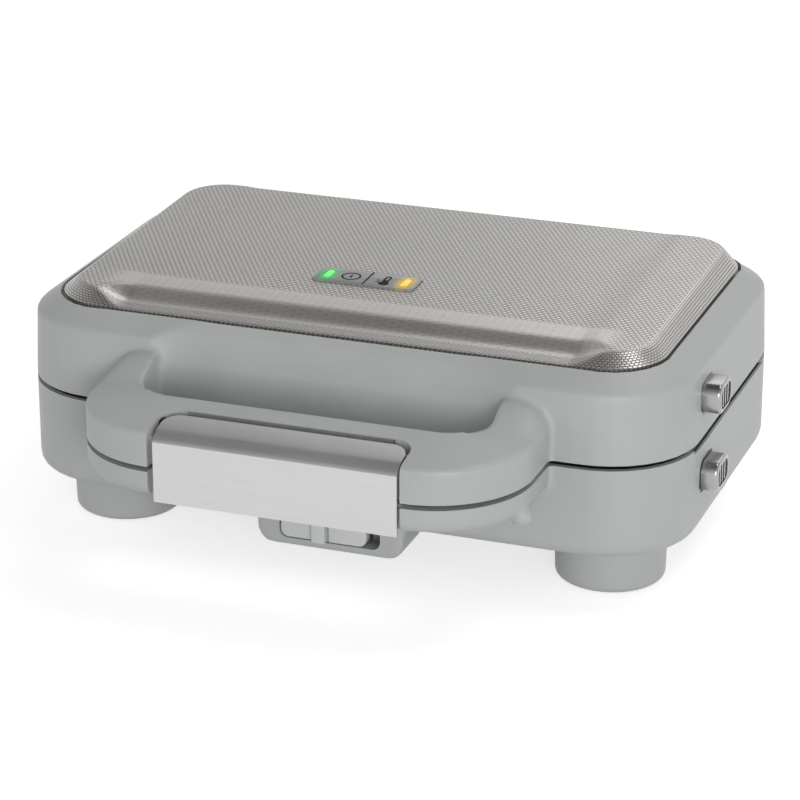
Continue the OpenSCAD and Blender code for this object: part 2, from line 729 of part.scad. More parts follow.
module lid_shell() color([0.68, 0.69, 0.68]) difference() {
  union() {
    difference() {
      union() {
        difference() {
          body_form([[lid_z, 0], [crease_z, lid_lean], [crease_z + 1.2, lid_lean + 1],
                     [shoulder_z - layer, shoulder_in]]);
          scoop();
        }
        upper_handle();
      }
      lid_cavity();
    }
    bosses_at() translate([0, 0, seam_z + frame_d])
      cylinder(r = boss_r, h = roof_z - seam_z - frame_d + 1);
    above_seam() spring_seat(up_button_rise, roof_z - 1 - seam_z);
    lid_knuckles();
  }
  translate([0, 0, shoulder_z - panel_seat]) linear_extrude(5) panel_plan(panel_gap);
  for (side = [-1, 1]) lamp_at(side) translate([0, 0, roof_z - 1])
    cylinder(r = lens_w / 2 + 0.4, h = wall_t + 3, $fn = 32);
  hinge_bores(pin_r + run_gap);
  above_seam() button_hole(up_button_rise);
  bosses_at() translate([0, 0, seam_z + frame_d - 1])
    cylinder(r = screw_r + run_gap, h = lid_screw_l + 1, $fn = 32);
  // Seat of the latch in the front and top of the handle
  block([-latch_w / 2 - latch_side_gap, -handle_reach - 1, lid_z - 1],
        [latch_w / 2 + latch_side_gap, latch_face_y, panel_z]);
  block([-latch_w / 2 - latch_side_gap, -handle_reach - 1, latch_floor_z],
        [latch_w / 2 + latch_side_gap, latch_y + latch_flange + latch_back_gap, panel_z]);
  x_rod(-latch_w / 2 - latch_side_gap, latch_w / 2 + latch_side_gap, latch_pivot_y, latch_pivot_z,
        latch_barrel_r + 0.5);
  x_rod(-latch_w / 2 - pin_over - 0.5, latch_w / 2 + pin_over + 0.5, latch_pivot_y, latch_pivot_z,
        latch_pin_r + run_gap);
}

// Room under the panel's sheet, behind the step
module panel_room() {
  hull() for (l = [[shoulder_z - panel_seat - 1, panel_t + 0.2],
                   [shoulder_z + panel_lip - 0.6, panel_t + 0.2],
                   [panel_z - panel_t - layer, panel_bevel + 0.4]])
    translate([0, 0, l[0]]) linear_extrude(layer)
      rounded(-side_x + panel_side + l[1], side_x - panel_side - l[1],
              panel_end + step_d + 8 + panel_t, body_d - panel_end - l[1], panel_r - l[1]);
}

// Pressed steel panel: upright lip, bevelled edge, flat top and a step along the front
module top_panel() color([0.8, 0.79, 0.78]) difference() {
  z0 = shoulder_z - panel_seat;
  lip_z = shoulder_z + panel_lip;
  hull() {
    translate([0, 0, z0]) linear_extrude(lip_z - z0) panel_plan(0);
    translate([0, 0, panel_z - 1]) linear_extrude(layer) panel_plan(-panel_bevel + 1.4);
    translate([0, 0, panel_z - layer]) linear_extrude(layer) panel_plan(-panel_bevel);
  }
  // Each level of the step is drawn wider than the one below it
  y0 = panel_end;
  hull() for (l = [[lip_z + 0.4, 0], [lip_z + 1.2, 2.2], [panel_z - 1.4, 4.6], [panel_z + eps, 8]])
    translate([0, 0, l[0]]) linear_extrude(layer)
      rounded(-step_w / 2 + 4 - l[1], step_w / 2 - 4 + l[1], y0 - 20, y0 + step_d + l[1] - 1, 8, 6);
  panel_room();
  translate([0, 0, z0 - 1]) linear_extrude(panel_t + 1.4) panel_plan(-panel_t - 0.2);
  translate([0, 0, z0 - 1]) linear_extrude(20) bezel_plan(seat_gap);
}

module bezel_plan(grow = 0)
  rounded(bezel_x - bezel_w / 2 - grow, bezel_x + bezel_w / 2 + grow,
          bezel_y - bezel_d / 2 - grow, bezel_y + bezel_d / 2 + grow, 2.6 + grow, 5);

module lens_plan(grow = 0)
  rounded(-lens_w / 2 - grow, lens_w / 2 + grow, -lens_l / 2 - grow, lens_l / 2 + grow,
          lens_w / 2 - 0.1 + grow, 6);

module indicator_bezel() color([0.51, 0.52, 0.52]) difference() {
  z0 = shoulder_z - panel_seat;
  translate([0, 0, z0]) linear_extrude(panel_z + 0.3 - z0) bezel_plan();
  for (side = [-1, 1]) lamp_at(side) translate([0, 0, z0 - 1]) linear_extrude(20) lens_plan(0.1);
}

module lamp_lens(side) {
  z0 = shoulder_z - panel_seat;
  lamp_at(side) translate([0, 0, z0]) linear_extrude(panel_z + 0.5 - z0) lens_plan();
}
module power_lamp() color([0.24, 0.86, 0.35]) lamp_lens(-1);
module ready_lamp() color([0.94, 0.74, 0.24]) lamp_lens(1);

// Lamp board under the roof, with its two lamps and standoffs
module lamp_board() color([0.16, 0.36, 0.24]) {
  top = roof_z - board_drop;
  block([bezel_x - bezel_w / 2 - board_over, bezel_y - board_d / 2, top - board_t],
        [bezel_x + bezel_w / 2 + board_over, bezel_y + board_d / 2, top]);
  for (side = [-1, 1]) lamp_at(side) translate([0, 0, top - eps])
    cylinder(r = 2, h = shoulder_z - panel_seat - top - 0.2, $fn = 32);
  for (side = [-1, 1]) translate([bezel_x + side * bezel_w / 5, bezel_y, top - eps])
    cylinder(r = 2, h = roof_z - top, $fn = 32);
}

// Frame of the lid, with a front edge that follows the scoop and countersunk holes for its screws
module lid_frame() color([0.26, 0.27, 0.27]) difference() {
  above_seam() inner_frame();
  scoop(wall_t + seat_gap);
  bosses_at() {
    translate([0, 0, seam_z + flange_d - 1]) cylinder(r = 3.5, h = 3, $fn = 32);
    translate([0, 0, seam_z + flange_d - 1]) cylinder(r = screw_r + run_gap, h = 9, $fn = 32);
  }
}
module upper_plate() color([0.58, 0.56, 0.53]) above_seam() cooking_plate();
module upper_element() color([0.35, 0.33, 0.31]) above_seam() element();
module upper_reflector() color([0.78, 0.78, 0.77]) above_seam() reflector();

// Thermostat disc on the back of the upper reflector
module thermostat() color([0.72, 0.7, 0.66]) above_seam()
  translate([-0.45 * tub_x, mid_y + 0.6 * tub_y, tray_d + sheet_t]) {
  cylinder(r = thermostat_r, h = 2, $fn = 48);
  translate([0, 0, 2 - eps]) cylinder(r = 0.7 * thermostat_r, h = 1.4, $fn = 48);
}

module lid_screws() color([0.6, 0.6, 0.62]) screws(seam_z + flange_d + 0.1, lid_screw_l);

module latch_pin() color([0.7, 0.7, 0.72])
  x_rod(-latch_w / 2 - pin_over, latch_w / 2 + pin_over, latch_pivot_y, latch_pivot_z, latch_pin_r);

module upper_button_spring() color([0.62, 0.62, 0.63])
  above_seam() button_spring(up_button_rise, up_stem_x);

// Latch

// Section of the folded steel plate in y and z, down the face from the flange's back edge
function fold(t) =
  let (rise = roof_rise(latch_flange) - 0.4, top = latch_top_z, y0 = latch_y)
  [[y0 + latch_flange, top + rise - t], [y0 + 6, top + 1.3 - t],
   [y0 + 2.2, top - 0.2 - t * 0.8], [y0 + 0.6 + t * 0.7, top - 1.6 - t * 0.5],
   [y0 + t, top - 3.6 - t * 0.2],
   [y0 + t, top - latch_h]];

module latch_plate() color([0.8, 0.8, 0.8]) {
  section = concat(fold(0), [for (i = [5:-1:0]) fold(latch_t)[i]]);
  translate([-latch_w / 2, 0, 0]) rotate([90, 0, 90]) linear_extrude(latch_w) polygon(section);
}

// Carrier behind the plate: block under the flange, backing, barrel and hook bead
module latch_carrier() color([0.3, 0.31, 0.31]) difference() {
  inner_y = latch_face_y - catch_nose - slide_gap - 0.3;
  low_z = latch_top_z - latch_h;
  union() {
    translate([-carrier_w / 2, 0, 0]) rotate([90, 0, 90]) linear_extrude(carrier_w) polygon(concat(
      [[latch_y + latch_t + 0.05, low_z + 0.4]], [for (i = [4:-1:1]) fold(latch_t + 0.05)[i]],
      [[latch_pivot_y - 0.8, latch_pivot_z + latch_barrel_r - 0.5],
       [latch_pivot_y - 0.8, latch_floor_z + 0.4], [inner_y, latch_floor_z + 0.4],
       [inner_y, low_z + 5.4], [inner_y + 0.3, low_z + 4.6], [inner_y + 0.3, low_z + 0.4]]));
    x_rod(-carrier_w / 2, carrier_w / 2, latch_pivot_y, latch_pivot_z, latch_barrel_r);
  }
  x_rod(-carrier_w, carrier_w, latch_pivot_y, latch_pivot_z, latch_pin_r + run_gap);
  // Gap for the spring
  block([-8, latch_pivot_y - latch_barrel_r - 1, latch_pivot_z - 6],
        [8, latch_pivot_y + 5, latch_pivot_z + 6]);
}

module latch_spring() color([0.62, 0.62, 0.63])
  translate([-7.4, latch_pivot_y, latch_pivot_z]) coil(14.8, 2.7, 0.4, 8);

// Slide lock

module lock_slider() color([0.78, 0.79, 0.79]) {
  y0 = 0.8;
  translate([0, slot_depth - slide_gap, 0]) rotate([90, 0, 0])
    linear_extrude(slot_depth - slide_gap - y0)
    rounded(slider_x0, slider_x0 + slider_w, slot_z + slide_gap, slot_z + slot_h - slide_gap, 2.2, 6);
  block([-4.7 - slider_rib_w / 2, -2.4, slot_z + 0.5],
        [-4.7 + slider_rib_w / 2, y0 + 1, slot_z + slot_h - 0.6]);
}

// Bolt behind the slot: stem through the slit and the plate that keeps the slider in
module lock_bolt() color([0.3, 0.31, 0.31]) {
  slab_y = slot_depth + lock_skin;
  block([-4, slot_depth - slide_gap, slot_z + 3.3], [4, slab_y + slide_gap + eps, slot_z + 6.7]);
  block([-15, slab_y + slide_gap, slot_z], [17, slab_y + 4, slot_z + slot_h]);
}

module lower_release_button() color([0.72, 0.72, 0.73])
  below_seam() release_button(low_button_drop, low_stem_x);
module lower_catch() color([0.3, 0.31, 0.31])
  below_seam() catch_bar(low_button_drop, low_stem_x);
module upper_release_button() color([0.72, 0.72, 0.73])
  above_seam() release_button(up_button_rise, up_stem_x);
module upper_catch() color([0.3, 0.31, 0.31])
  above_seam() catch_bar(up_button_rise, up_stem_x);

module place() translate(shift) children();

place() base_shell();
place() foot(-1, -1);  // front_left_foot
place() foot(1, -1);  // front_right_foot
place() foot(-1, 1);  // rear_left_foot
place() foot(1, 1);  // rear_right_foot
place() foot_pads();
place() base_frame();
place() lower_plate();
place() lower_element();
place() lower_reflector();
place() terminal_block();
place() cord_gland();
place() base_screws();
place() hinge_pins();
place() lower_button_spring();
place() lid_shell();
place() top_panel();
place() indicator_bezel();
place() power_lamp();
place() ready_lamp();
place() lamp_board();
place() lid_frame();
place() upper_plate();
place() upper_element();
place() upper_reflector();
place() thermostat();
place() lid_screws();
place() latch_pin();
place() upper_button_spring();
place() latch_plate();
place() latch_carrier();
place() latch_spring();
place() lower_release_button();
place() lower_catch();
place() upper_release_button();
place() upper_catch();
place() lock_slider();
place() lock_bolt();
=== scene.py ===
"""Looks of a two-portion hinged toasting press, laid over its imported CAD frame."""
import json
import math

import bmesh
import bpy
from mathutils import Matrix, Vector


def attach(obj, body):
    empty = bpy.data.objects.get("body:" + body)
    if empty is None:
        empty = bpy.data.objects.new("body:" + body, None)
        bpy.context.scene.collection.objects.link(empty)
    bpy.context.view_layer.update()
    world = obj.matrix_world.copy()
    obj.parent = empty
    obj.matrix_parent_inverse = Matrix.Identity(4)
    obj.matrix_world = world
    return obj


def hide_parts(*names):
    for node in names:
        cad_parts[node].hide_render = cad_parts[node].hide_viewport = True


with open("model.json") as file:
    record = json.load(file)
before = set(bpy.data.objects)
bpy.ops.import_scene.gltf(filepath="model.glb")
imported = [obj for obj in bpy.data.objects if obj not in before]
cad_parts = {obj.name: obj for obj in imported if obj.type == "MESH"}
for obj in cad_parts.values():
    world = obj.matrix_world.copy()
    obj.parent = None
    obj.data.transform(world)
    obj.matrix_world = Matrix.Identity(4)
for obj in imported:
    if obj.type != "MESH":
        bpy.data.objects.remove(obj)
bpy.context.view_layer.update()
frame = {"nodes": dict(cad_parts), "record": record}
MM = 0.001
# From the drawing's axes (x = 0 centre, y = 0 front wall) to the row frame, in millimetres
SHIFT = Vector((-4.0, -73.65, 0.0))

# Sizes of the drawing that more than one place uses, in millimetres
HALF, DEPTH, CORNER, WALL = 160, 201, 42, 2.6  # body from above, and the wall of both shells
FLOOR_Z, RIM_Z, SEAM_Z, LID_Z = 28.6, 68.5, 69.7, 70.9  # base floor and rim, seam, rim of the lid
CREASE_Z, SHOULDER_Z, PANEL_Z = 102.4, 110.6, 117.0  # foot and top of the lid's slope, panel
PANEL_X, PANEL_Y, PANEL_R, PANEL_RIM_Z = 145.2, (13.8, 187.2), 26.6, 111.0
STEP_Y = 34.5  # middle of the step along the panel's front
CLIMB, CLIMB_Y = 2.8, (44, 187)  # the panel's rise to the rear, and where it runs
STRIP = (-33.3, 16.5, 64.5, 81.5)  # lamp strip from above
LAMP_X, LAMP_Y = (-27.4, 10.6), 73.0
ARM_OUT, ARM_IN, REACH, BAR, EDGE_Z = 103.8, 82.5, 67.2, 34.0, 85.9  # handle
LATCH_X, FACE_Y, LATCH_FLOOR, LATCH_BACK = 58.5, -63.0, 83.3, -44.5  # the latch's seat
LATCH_PIN, LATCH_PIN_HALF, LATCH_PIN_BORE = (-51, 85), 66, 3.2  # its axis in y and z, half length
HINGE_X, HINGE_Y, EAR_R, PIN_BORE = 100, 208.5, 6, 2.55
BUTTON_Y, BUTTON_Z = 57, (51.8, 89.2)


def tint(r, g, b):
    """Linear colour of an sRGB one given in 0 to 255."""
    def lin(c):
        c /= 255.0
        return c / 12.92 if c <= 0.04045 else ((c + 0.055) / 1.055) ** 2.4
    return (lin(r), lin(g), lin(b), 1.0)


# ---- Materials

class Val:
    """An output of a shader node that adds, multiplies and compares like a number."""

    def __init__(self, look, out):
        self.look, self.out = look, out

    def op(self, kind, *rest):
        return self.look.node("Math", [self, *rest], operation=kind)

    def __add__(self, o): return self.op("ADD", o)
    def __sub__(self, o): return self.op("SUBTRACT", o)
    def __mul__(self, o): return self.op("MULTIPLY", o)
    def __truediv__(self, o): return self.op("DIVIDE", o)
    def __mod__(self, o): return self.op("FLOORED_MODULO", o)
    def __abs__(self): return self.op("ABSOLUTE")
    def __rsub__(self, o): return (self * -1.0) + o
    __radd__, __rmul__ = __add__, __mul__

    def floor(self): return self.op("FLOOR")
    def least(self, o): return self.op("MINIMUM", o)
    def most(self, o): return self.op("MAXIMUM", o)

    def span(self, lo, hi, a=0.0, b=1.0):
        """Eases from a to b while this runs from lo to hi."""
        return self.look.node("MapRange", {"Value": self, "From Min": lo, "From Max": hi,
                                           "To Min": a, "To Max": b}, interpolation_type="SMOOTHSTEP")


class Look:
    """A procedural material on a Principled shader, in Object coordinates."""

    def __init__(self, name, **sockets):
        self.mat = bpy.data.materials.new(name)
        self.mat.use_nodes = True
        self.tree = self.mat.node_tree
        self.shader = self.tree.nodes["Principled BSDF"]
        self.node("TexCoord")
        self.where = self.last.outputs["Object"]
        self.set(**sockets)

    def node(self, kind, inputs=(), out=0, **props):
        """Adds a node, sets its properties and inputs, and returns one output as a Val."""
        self.last = n = self.tree.nodes.new("ShaderNode" + kind)
        for key, value in props.items():
            setattr(n, key, value)
        pairs = inputs.items() if isinstance(inputs, dict) else enumerate(inputs)
        for key, value in pairs:
            self.join(n.inputs[key], value)
        return Val(self, n.outputs[out])

    def join(self, socket, value):
        """Links a Val or a socket to an input, or writes a plain value there."""
        if isinstance(value, Val):
            value = value.out
        if isinstance(value, bpy.types.NodeSocket):
            self.tree.links.new(value, socket)
        else:
            socket.default_value = value

    def set(self, **sockets):
        """Feeds the Principled shader's inputs, with _ for the space in their names."""
        for key, value in sockets.items():
            self.join(self.shader.inputs[key.replace("_", " ")], value)
        return self

    def axes(self):
        """Object coordinates in millimetres, one Val each."""
        self.node("SeparateXYZ", [self.where])
        return [Val(self, o) * 1000.0 for o in self.last.outputs]

    def noise(self, per_m, detail=2.0, rough=0.5, stretch=(1, 1, 1)):
        """Noise with that many features per metre, stretched along an axis where stretch < 1."""
        spot = self.node("Mapping", {"Vector": self.where, "Scale": [per_m * s for s in stretch]})
        return self.node("TexNoise", {"Vector": spot, "Scale": 1.0, "Detail": detail, "Roughness": rough})

    def blend(self, a, b, factor):
        """Colour a where the factor is 0 and b where it is 1."""
        self.node("Mix", {0: factor, 6: a, 7: b}, data_type="RGBA")
        return Val(self, self.last.outputs[2])

    def bump(self, height, depth_mm, strength=1.0, under=None):
        """Raises the surface by a height of 0 to 1, on top of another bump if one is given."""
        inputs = {"Height": height, "Distance": depth_mm * MM, "Strength": strength}
        if under:
            inputs["Normal"] = under
        return self.node("Bump", inputs)


def moulded(name, rgb, rough=0.42, grain=0.02, **sockets):
    """Satin moulded plastic: fine eroded grain, faint clouding in shade and gloss."""
    look = Look(name, **sockets)
    cloud, fine = look.noise(14, 3), look.noise(2600, 1)
    pale, deep = tint(*rgb), tint(*[c * 0.965 for c in rgb])
    look.set(Base_Color=look.blend(deep, pale, cloud.span(0.3, 0.7)),
             Roughness=cloud.span(0.25, 0.75, rough - 0.04, rough + 0.05) + fine.span(0.3, 0.7, 0, 0.05),
             Normal=look.bump(fine, grain))
    return look


def brushed(name, rgb, rough=0.3, along=(0.02, 1, 1), metal=1.0, depth=0.004, shade=0.86):
    """Metal with fine scratches along one axis and a slow change of shade."""
    look = Look(name, Metallic=metal)
    scratch, cloud = look.noise(2400, 4, 0.7, along), look.noise(18, 2)
    pale, deep = tint(*rgb), tint(*[c * shade for c in rgb])
    look.set(Base_Color=look.blend(deep, pale, scratch.span(0.3, 0.62)),
             Roughness=scratch.span(0.3, 0.7, rough - 0.04, rough + 0.04) + cloud.span(0.3, 0.7, 0, 0.06),
             Normal=look.bump(scratch, depth))
    return look


def dashes(along, across, length, pitch):
    """1 on short dashes in staggered rows, and 0 between them."""
    v = across / pitch
    u = along / length + (v.floor() % 2.0) * 0.5
    return (abs((u % 1.0) - 0.5)).span(0.3, 0.45, 1, 0) * (abs((v % 1.0) - 0.5)).span(0.22, 0.44, 1, 0)


def linen_steel():
    """Panel sheet pressed with short staggered dashes, which follow its edge on the bevel; its colour is painted
    shade between the dashes and painted highlight on them.
    """
    look = Look("pressed linen steel", Metallic=0.84)
    x, y = look.axes()[:2]
    middle_y = sum(PANEL_Y) / 2
    x, y = abs(x - SHIFT.x), y - (middle_y + SHIFT.y)
    run_x, run_y = PANEL_X - PANEL_R, (PANEL_Y[1] - PANEL_Y[0]) / 2 - PANEL_R
    over_x, over_y = (x - run_x).most(0.0), (abs(y) - run_y).most(0.0)
    inset = PANEL_R - (over_x * over_x + over_y * over_y).op("SQRT")
    turn = over_x.op("ARCTAN2", over_y + 0.001)
    around = x.least(run_x) + turn * 26.0 - abs(y).least(run_y)
    flat, edge = dashes(x, y, 2.6, 2.1), dashes(around, inset * 1.25, 2.3, 1.15)
    at_edge = inset.span(7.2, 8.4, 1, 0)
    at_step = abs(y + (middle_y - STEP_Y)).span(11, 15, 1, 0) * x.span(112, 128, 1, 0)
    dash = flat + (edge - flat) * at_edge
    dash = dash + (0.72 + dashes(x, y, 8.0, 1.3) * 0.2 - dash) * at_step * (1.0 - at_edge)
    cloud, fine = look.noise(9, 2), look.noise(1500, 2)
    # Painted shade and highlight: the colour is dark between the raised dashes and pale on them, with fine grain
    # added
    grain = dash * 0.85 + fine.span(0.3, 0.7, 0, 0.15)
    look.set(Base_Color=look.blend(tint(112, 110, 107), tint(214, 211, 207), grain),
             Roughness=cloud.span(0.3, 0.7, 0.33, 0.4) - dash * 0.05,
             Normal=look.bump(dash, 0.1, 0.6, look.bump(fine, 0.005)))
    return look


def near(look, centre, reach):
    """1 beside a point of the drawing's plan, fading to 0 at an ellipse of that reach."""
    x, y = look.axes()[:2]
    x, y = (x - (centre[0] + SHIFT.x)) / reach[0], (y - (centre[1] + SHIFT.y)) / reach[1]
    return (x * x + y * y).op("SQRT").span(0.25, 1.0, 1, 0)


def lamp_strip():
    """Smooth grey strip with a painted glow of its two lamps' light round their slots, in its colour and a faint
    emission.
    """
    look = moulded("smooth grey bezel", (128, 131, 130), 0.3, 0.004, Coat_Weight=0.2)
    plain = Val(look, look.shader.inputs["Base Color"].links[0].from_socket)
    # Painted lamp light: green and amber halos round the slots, in the base colour and in a faint glow of the
    # strip itself
    green, amber = [near(look, (x, LAMP_Y), (6.6, 12)) for x in LAMP_X]
    shade = look.blend(look.blend(plain, tint(40, 130, 55), green), tint(175, 140, 30), amber)
    glow = look.blend(look.blend(tint(0, 0, 0), tint(40, 225, 80), green), tint(235, 190, 30), amber)
    return look.set(Base_Color=shade, Emission_Color=glow, Emission_Strength=0.3)


def lens(name, rgb, glow, power):
    """Tinted lamp lens that is lit from the middle."""
    look = Look(name, Roughness=0.3, Coat_Weight=0.2, Coat_Roughness=0.1)
    fine = look.noise(900, 2)
    look.set(Base_Color=look.blend(tint(*[c * 0.85 for c in rgb]), tint(*rgb), fine.span(0.3, 0.7)),
             Emission_Color=look.blend(tint(*[c * 0.9 for c in glow]), tint(*glow), fine.span(0.35, 0.65)),
             Emission_Strength=power)
    return look


LOOKS = {
    "shell_plastic": moulded("satin grey moulding", (177, 180, 179)),
    "pad_rubber": moulded("matt rubber", (42, 42, 44), 0.85, 0.05, Specular_IOR_Level=0.2),
    "frame_plastic": moulded("dark heat-proof moulding", (84, 86, 86), 0.55),
    "plate_coating": moulded("satin plate coating", (116, 110, 102), 0.36, 0.03, Metallic=0.35),
    "element_sheath": brushed("heat-dulled sheath", (96, 90, 84), 0.5, (0.1, 1, 1)),
    "bright_sheet": brushed("bright aluminised sheet", (205, 205, 202), 0.34, (0.2, 1, 1)),
    "terminal_plastic": moulded("cream terminal moulding", (222, 216, 200), 0.5),
    "zinc_steel": brushed("zinc-plated steel", (178, 178, 182), 0.32, (0.15, 1, 1)),
    "panel_steel": linen_steel(),
    "bezel_grey": lamp_strip(),
    "lens_green": lens("green lens", (20, 120, 45), (95, 245, 125), 0.9),
    "lens_amber": lens("amber lens", (130, 98, 12), (255, 216, 62), 0.9),
    "board_green": moulded("lamp board", (40, 92, 62), 0.5),
    "latch_steel": brushed("satin latch steel", (203, 203, 203), 0.3, (0.012, 1, 1), 0.8, 0.001, 0.975),
    "button_metal": brushed("polished button cap", (168, 168, 170), 0.22, (1, 1, 0.3), 1.0, 0.0003, 0.97),
    "slider_plastic": moulded("pale slider moulding", (206, 208, 208), 0.36),
}


def coat(obj, slot):
    """Gives a mesh the look of its slot, and no other."""
    obj.data.materials.clear()
    obj.data.materials.append(LOOKS[slot].mat)


for part in frame["record"]["subparts"]:
    coat(frame["nodes"][part["node"]], part["material_slot"])


# ---- Shapes, built in the drawing's millimetres and then placed in the row frame

def outline(x0, x1, y0, y1, r, n=10, step=6.0, runs=None):
    """Rounded rectangle, anticlockwise; its straight runs are split by a step, or into set counts."""
    r = max(r, 0.4)
    points, counts = [], runs and [runs[1], runs[0]] * 2
    for cx, cy, start in ((x1 - r, y1 - r, 0), (x0 + r, y1 - r, 90),
                          (x0 + r, y0 + r, 180), (x1 - r, y0 + r, 270)):
        turns = [math.radians(start + 90 * i / n) for i in range(n + 1)]
        arc = [(cx + r * math.cos(a), cy + r * math.sin(a)) for a in turns]
        if points:
            points += split(points[-1], arc[0], step, counts and counts.pop())
        points += arc
    return points + split(points[-1], points[0], step, counts and counts.pop())


def split(a, b, step, count=None):
    """The points between two, at about a step or in a set count of parts."""
    count = count or max(1, round(math.dist(a, b) / step))
    return [tuple(p + (q - p) * i / count for p, q in zip(a, b)) for i in range(1, count)]


def circle(x, y, r, count=40):
    return [(x + r * math.cos(2 * math.pi * i / count), y + r * math.sin(2 * math.pi * i / count))
            for i in range(count)]


def plan(inset):
    """Body seen from above; every inset has as many points."""
    return resample(outline(inset - HALF, HALF - inset, inset, DEPTH - inset, CORNER - inset, 12, 200), 120)


def resample(points, count):
    """The same closed outline with evenly spaced points, starting at the first."""
    ring = points + points[:1]
    runs = [math.dist(a, b) for a, b in zip(ring, ring[1:])]
    total, out, k, walked = sum(runs), [], 0, 0.0
    for i in range(count):
        goal = total * i / count
        while walked + runs[k] < goal:
            walked += runs[k]
            k += 1
        t = (goal - walked) / runs[k]
        out.append(tuple(p + (q - p) * t for p, q in zip(ring[k], ring[k + 1])))
    return out


def level(points, z):
    """A plan's points at one height."""
    return [(x, y, z) for x, y in points]


def loft(loops):
    """Closed solid through loops of as many points, extruded from the first to the last."""
    bm = bmesh.new()
    cap = bm.faces.new([bm.verts.new(p) for p in loops[0]])
    for loop in loops[1:]:
        grown = bmesh.ops.extrude_face_region(bm, geom=[cap])["geom"]
        if loop is not loops[1]:
            bmesh.ops.delete(bm, geom=[cap], context="FACES_ONLY")
        cap = next(g for g in grown if isinstance(g, bmesh.types.BMFace))
        for corner, point in zip(cap.loops, loop):
            corner.vert.co = point
    bmesh.ops.recalc_face_normals(bm, faces=bm.faces)
    return bm


def prism(points, a, b, axis="z"):
    """Outline extruded from a to b along an axis; along x it is given in y and z, along y in x and z."""
    turn = {"x": lambda p, h: (h, p[0], p[1]), "y": lambda p, h: (p[0], h, p[1]),
            "z": lambda p, h: (p[0], p[1], h)}[axis]
    return loft([[turn(p, h) for p in points] for h in (a, b)])


def box(low, high):
    """Box between two opposite corners, of which low has the smaller of each number."""
    return prism([(low[0], low[1]), (high[0], low[1]), (high[0], high[1]), (low[0], high[1])], low[2], high[2])


def sided(side, low, high):
    """Box between two corners that are given for the right half, on either side."""
    left, right = sorted((side * low[0], side * high[0]))
    return box((left, *low[1:]), (right, *high[1:]))


def rod(x0, x1, y, z, r, count=48):
    """Cylinder along x."""
    return prism(circle(y, z, r, count), x0, x1, "x")


def soften(bm, width, segments=3, above=30):
    """Bevels the edges that turn by more than some degrees."""
    sharp = [e for e in bm.edges if e.is_manifold and e.calc_face_angle() > math.radians(above)]
    bmesh.ops.bevel(bm, geom=sharp, offset=width, segments=segments, profile=0.5, affect="EDGES",
                    material=-1, clamp_overlap=True)
    return bm


def shape(name, *meshes):
    """One object from one or more bmesh solids, still in the drawing's millimetres."""
    data = bpy.data.meshes.new(name)
    whole = bmesh.new()
    for bm in meshes:
        bm.to_mesh(data)
        whole.from_mesh(data)
        bm.free()
    whole.to_mesh(data)
    whole.free()
    obj = bpy.data.objects.new(name, data)
    bpy.context.collection.objects.link(obj)
    return obj


def mesh_of(obj):
    """Takes an object apart into a bmesh."""
    bm = bmesh.new()
    bm.from_mesh(obj.data)
    bpy.data.objects.remove(obj)
    return bm


def settle(obj, *modifiers):
    """Adds modifiers, each a kind and its settings, and keeps their result as the mesh."""
    for kind, settings in modifiers:
        mod = obj.modifiers.new(kind.lower(), kind)
        for key, value in settings.items():
            setattr(mod, key, value)
    bpy.context.view_layer.update()
    done = bpy.data.meshes.new_from_object(obj.evaluated_get(bpy.context.evaluated_depsgraph_get()))
    obj.modifiers.clear()
    old, obj.data = obj.data, done
    done.name = obj.name
    bpy.data.meshes.remove(old)
    return obj


def carve(obj, *meshes, add=False):
    """Takes solids away from an object one by one, or adds them."""
    for bm in meshes:
        tool = shape("tool", bm)
        settle(obj, ("BOOLEAN", {"object": tool, "solver": "MANIFOLD",
                                 "operation": "UNION" if add else "DIFFERENCE"}))
        bpy.data.objects.remove(tool)
    return obj


def melt(obj, voxel, rounds):
    """Fuses overlapping solids into one skin with soft creases and fillets."""
    return settle(obj, ("REMESH", {"mode": "VOXEL", "voxel_size": voxel}),
                  ("SMOOTH", {"factor": 0.5, "iterations": rounds}))


def place(obj, slot, body, *stands_for, crease=32):
    """Moves a finished shape into the row frame, dresses it and ties it to its body."""
    obj.data.transform(Matrix.Scale(MM, 4) @ Matrix.Translation(SHIFT))
    obj.data.shade_smooth()
    obj.data.set_sharp_from_angle(angle=math.radians(crease))
    coat(obj, slot)
    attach(obj, body)
    if stands_for:
        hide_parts(*stands_for)
    return obj


def ease(t):
    """Slow start and slow end from 0 to 1."""
    t = min(max(t, 0.0), 1.0)
    return t * t * (3 - 2 * t)


def mixed(a, b, t):
    """The points that lie at t on the way from one list to the other."""
    return [tuple(p + (q - p) * t for p, q in zip(u, v)) for u, v in zip(a, b)]


# ---- The moulded shells

def roof(inset):
    """Height of the handle's domed top, that far in from its outer edge."""
    return EDGE_Z + 6 * (0.16 + 0.84 * (inset / BAR) ** 0.75)


def grip(levels):
    """One half of the handle, with straight arms and its finger gap, through heights and their insets."""
    loops = []
    for z, inset in levels:
        x, front, r = ARM_OUT - inset, inset - REACH, 45 - inset
        arc = [(r * math.cos(math.radians(a)), r * math.sin(math.radians(a))) for a in range(-90, 1, 6)]
        right = [(x - r + u, front + r + v) for u, v in arc] + [(x, -12), (x, 0), (x, 9)]
        left = [(-u, v) for u, v in reversed(right)]
        loops.append(level(left + split(left[-1], right[0], 10) + right, z))
    gap = outline(-ARM_IN, ARM_IN, -REACH + BAR, 60, 22)
    return carve(shape("grip", loft(loops)), prism(gap, levels[0][0] - 9, levels[-1][0] + 9))


